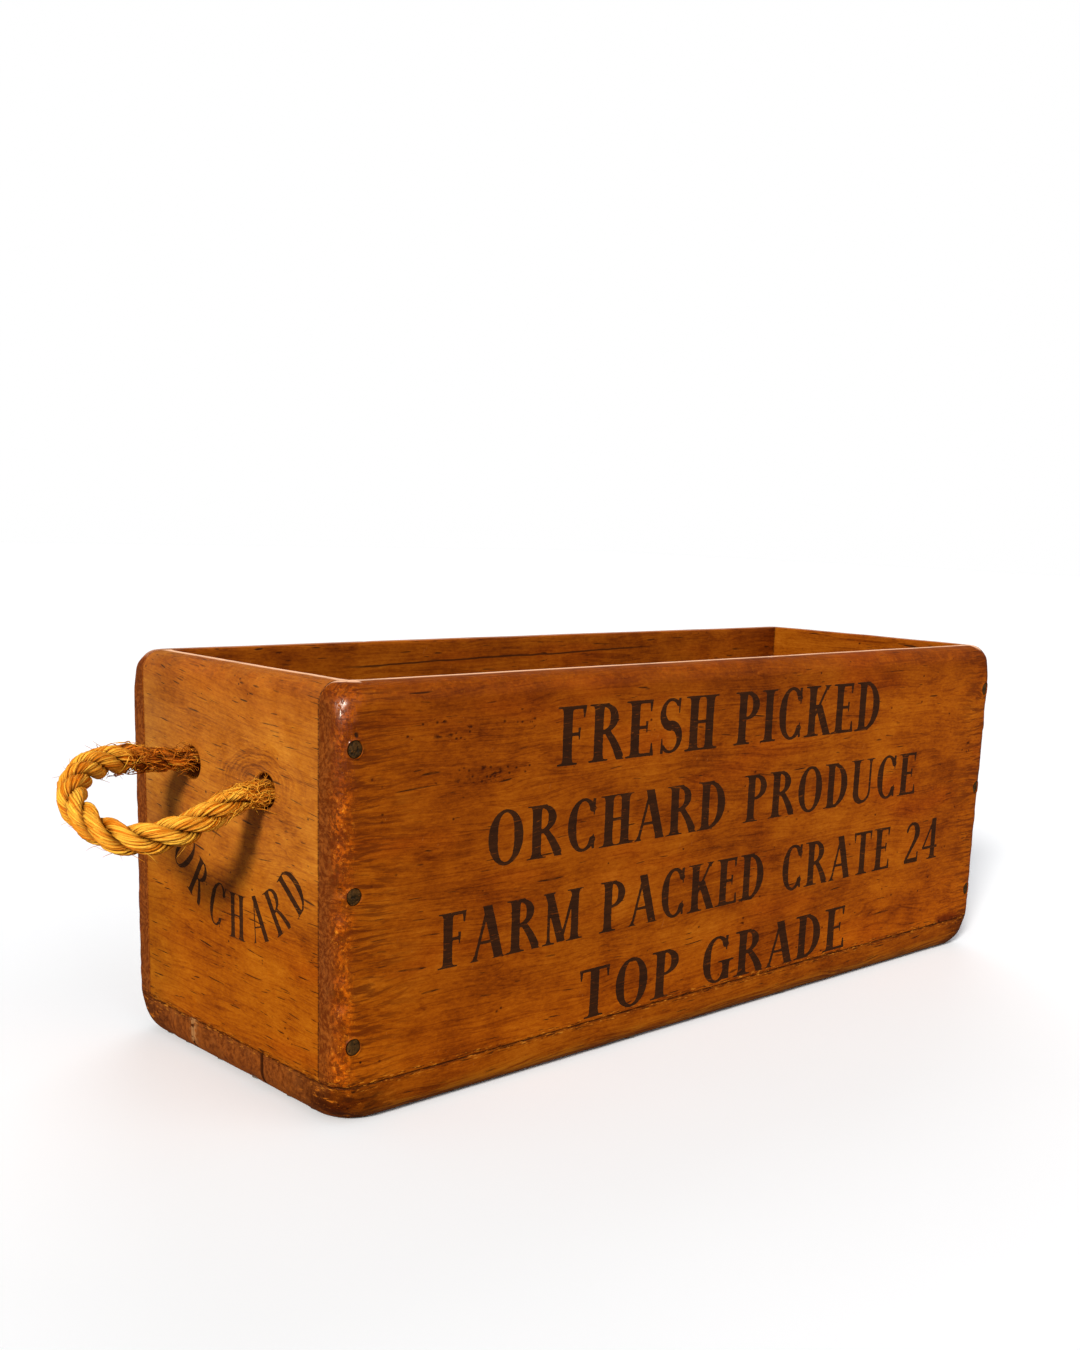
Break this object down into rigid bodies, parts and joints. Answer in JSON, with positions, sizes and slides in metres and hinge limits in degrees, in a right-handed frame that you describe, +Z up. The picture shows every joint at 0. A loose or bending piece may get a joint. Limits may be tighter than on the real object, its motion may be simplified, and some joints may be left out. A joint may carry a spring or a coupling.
{
  "type": "wooden crate with rope handles",
  "caption": "Trough-shaped stained wooden crate with lengthwise boards, slatted bottom and a swinging rope handle at each end.",
  "frame": {"origin": "middle of the underside", "axes": "+X along the length towards the right end, -Y out of the printed front board, +Z up"},
  "size_m": [0.6593, 0.179, 0.193],
  "materials": {
    "stained_wood": "waxed amber stain, satin, worn at the edges",
    "filler": "dark wood filler, matt",
    "screw_steel": "plain steel wood screw",
    "nail_steel": "dull wire nail",
    "rope": "laid natural fibre rope, matt and hairy"
  },
  "bodies": {
    "crate": {"front_board": "stained_wood", "back_board": "stained_wood", "left_end_panel": "stained_wood", "right_end_panel": "stained_wood", "bottom_slat_front": "stained_wood", "bottom_slat_middle": "stained_wood", "bottom_slat_rear": "stained_wood", "front_left_screws": "screw_steel", "front_right_screws": "screw_steel", "back_left_screws": "screw_steel", "back_right_screws": "screw_steel", "front_left_plugs": "filler", "front_right_plugs": "filler", "back_left_plugs": "filler", "back_right_plugs": "filler", "left_end_slat_nails": "nail_steel", "right_end_slat_nails": "nail_steel", "front_edge_slat_nails": "nail_steel", "rear_edge_slat_nails": "nail_steel"},
    "left_rope_ends": {"left_rope_front_knot": "rope", "left_rope_rear_knot": "rope"},
    "left_handle": {"left_rope_loop": "rope"},
    "right_rope_ends": {"right_rope_front_knot": "rope", "right_rope_rear_knot": "rope"},
    "right_handle": {"right_rope_loop": "rope"}
  },
  "joints": [
    {"name": "left_rope_slide", "type": "slide", "parent": "crate", "child": "left_rope_ends", "axis": [1, 0, 0], "range_m": [0, 0.008]},
    {"name": "left_handle_swing", "type": "hinge", "parent": "left_rope_ends", "child": "left_handle", "pos_m": [-0.268, -0.033, 0.1396], "axis": [0, 0.9948, 0.1019], "range_deg": [-62, 85]},
    {"name": "right_rope_slide", "type": "slide", "parent": "crate", "child": "right_rope_ends", "axis": [-1, 0, 0], "range_m": [0, 0.008]},
    {"name": "right_handle_swing", "type": "hinge", "parent": "right_rope_ends", "child": "right_handle", "pos_m": [0.268, -0.033, 0.1396], "axis": [0, -0.9948, -0.1019], "range_deg": [-48, 99]}
  ]
}
